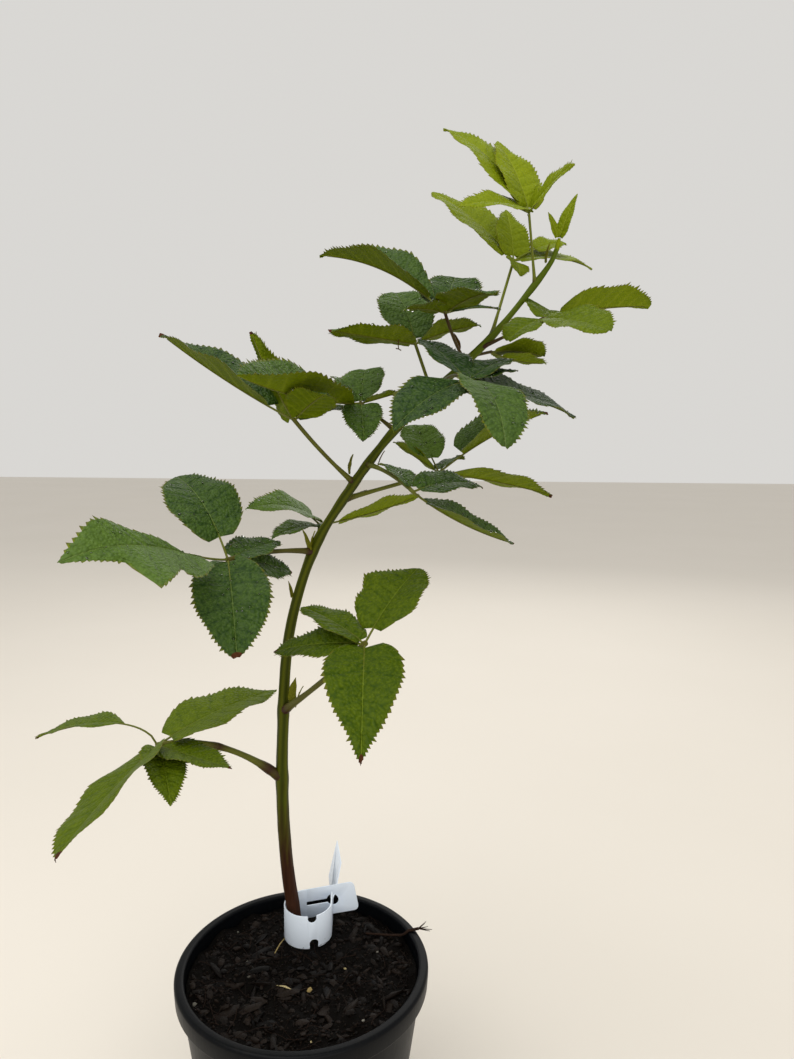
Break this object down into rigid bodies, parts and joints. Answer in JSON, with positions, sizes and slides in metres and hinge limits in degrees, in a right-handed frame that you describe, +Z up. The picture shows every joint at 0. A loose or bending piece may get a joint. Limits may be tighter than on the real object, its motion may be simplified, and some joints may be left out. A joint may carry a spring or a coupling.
{
  "type": "potted bramble plant",
  "caption": "Young bramble with one arching cane, compound saw-edged leaves and a blank loop label, growing in a round plastic nursery pot.",
  "frame": {"origin": "centre of the pot's flat underside", "axes": "+Z up along the pot's axis, +X towards the side the cane leans to, +Y towards the back of the pictured view"},
  "size_m": [0.3302, 0.2104, 0.5725],
  "materials": {
    "pot": "satin charcoal injection-moulded plastic",
    "mix": "moist dark bark and fibre potting mix",
    "cane": "satin green young stem",
    "leaf": "soft satin green leaf",
    "label": "smooth white plastic strip"
  },
  "bodies": {
    "root": {"pot": "pot", "potting_mix": "mix", "cane": "cane", "plant_label": "label", "leaf_left_low": "leaf", "leaf_right_low": "leaf", "leaf_left_middle": "leaf", "leaf_back_middle": "leaf", "leaf_right_middle_back": "leaf", "leaf_right_middle_front": "leaf", "leaf_left_high": "leaf", "leaf_small_left": "leaf", "leaf_inner_left": "leaf", "leaf_front": "leaf", "leaf_high_left": "leaf", "leaf_inner_right": "leaf", "leaf_right_high": "leaf", "leaf_high_back": "leaf", "leaf_top": "leaf", "shoot_tip": "leaf"}
  },
  "joints": []
}
